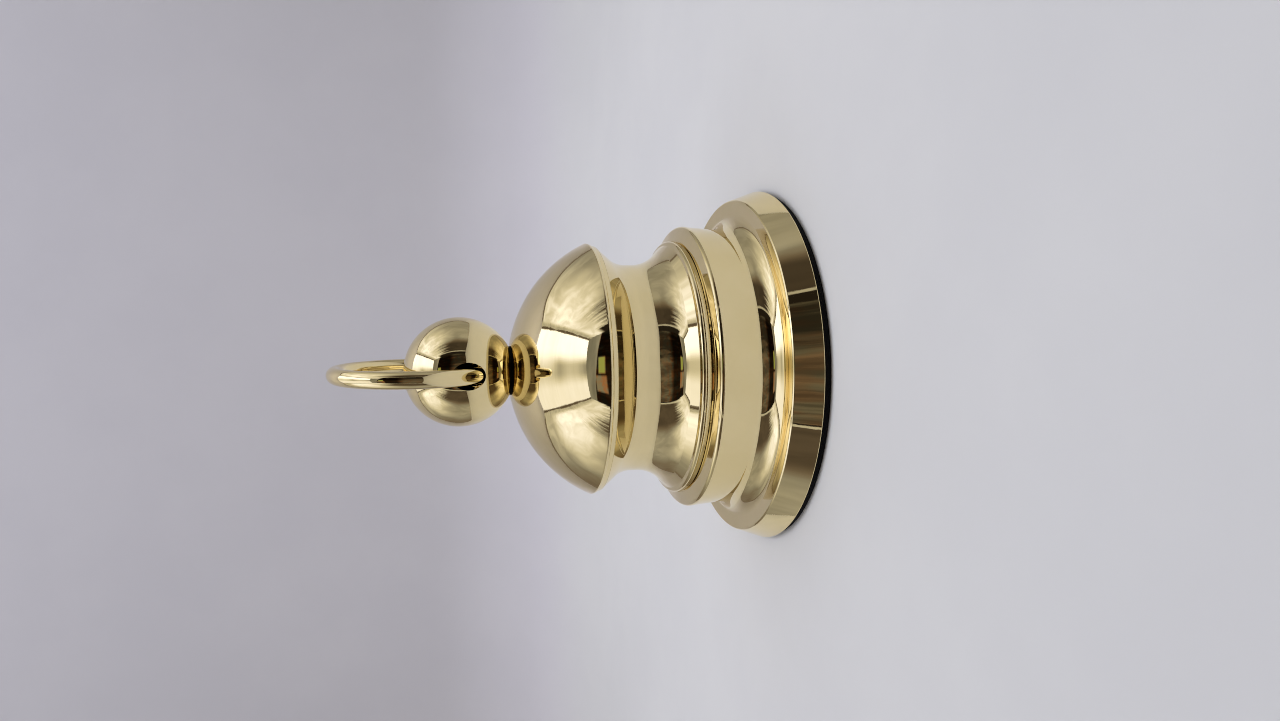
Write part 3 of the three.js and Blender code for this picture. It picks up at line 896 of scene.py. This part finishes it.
def fill_light():
    """A soft light from above that gives the floor its level. The brass doesn't mirror it."""
    data = bpy.data.lights.new("fill", "AREA")
    data.shape, data.size, data.size_y = "RECTANGLE", 0.5, 0.5
    data.energy = 1.2
    obj = bpy.data.objects.new("fill", data)
    bpy.context.scene.collection.objects.link(obj)
    obj.location = (0, -0.05, 0.7)
    obj.visible_glossy = obj.visible_camera = False


stage_object("sweep", sweep_mesh(), sweep_material())
tent_box = box_mesh("tent", TENT_SIDE, TENT_FRONT, TENT_BACK + 0.01, -0.002, TENT_TOP, True)
stage_object("tent", tent_box, tent_light(), camera=False)
lining_side, lining_front = TENT_SIDE - CAMERA_LINING, TENT_FRONT + CAMERA_LINING
surround_box = box_mesh("surround", lining_side, lining_front, TENT_BACK, 0, TENT_TOP, False)
stage_object("surround", surround_box, surround_material(), others=False)
fill_light()

world = bpy.data.worlds.new("world")
bpy.context.scene.world = world
world.use_nodes = True
OUTSIDE_GREY = (0.45, 0.45, 0.47, 1)  # seen only by a camera outside the tent
world.node_tree.nodes["Background"].inputs["Color"].default_value = OUTSIDE_GREY

# ---- Camera ---------------------------------------------------------------------------------
DISTANCE, HEIGHT = 0.2613, 0.1009
PITCH, YAW, ROLL = math.radians(13.99), math.radians(0.42), math.radians(1.35)
LENS = 26.61


def camera():
    """The camera stands in front and looks down a little. It is held on its side, so the object's top
    points to the picture's left."""
    data = bpy.data.cameras.new("camera")
    data.lens, data.sensor_width = LENS, 36.0
    data.clip_start, data.clip_end = 0.005, 10
    forward = Vector((math.sin(YAW) * math.cos(PITCH), math.cos(YAW) * math.cos(PITCH), -math.sin(PITCH)))
    right = Vector((math.cos(YAW), -math.sin(YAW), 0))
    down = forward.cross(right)
    picture_up = right * math.cos(ROLL) + down * math.sin(ROLL)
    picture_right = down * math.cos(ROLL) - right * math.sin(ROLL)
    basis = Matrix((picture_right, picture_up, -forward)).transposed().to_4x4()
    obj = bpy.data.objects.new("camera", data)
    bpy.context.scene.collection.objects.link(obj)
    place = Matrix.Translation((0, -DISTANCE, HEIGHT)) @ basis
    obj.matrix_world = Matrix.Rotation(VIEW_TURN, 4, "Z") @ place
    bpy.context.scene.camera = obj


camera()
bpy.context.scene.view_settings.view_transform = "Standard"
bpy.context.scene.cycles.filter_width = 1.0
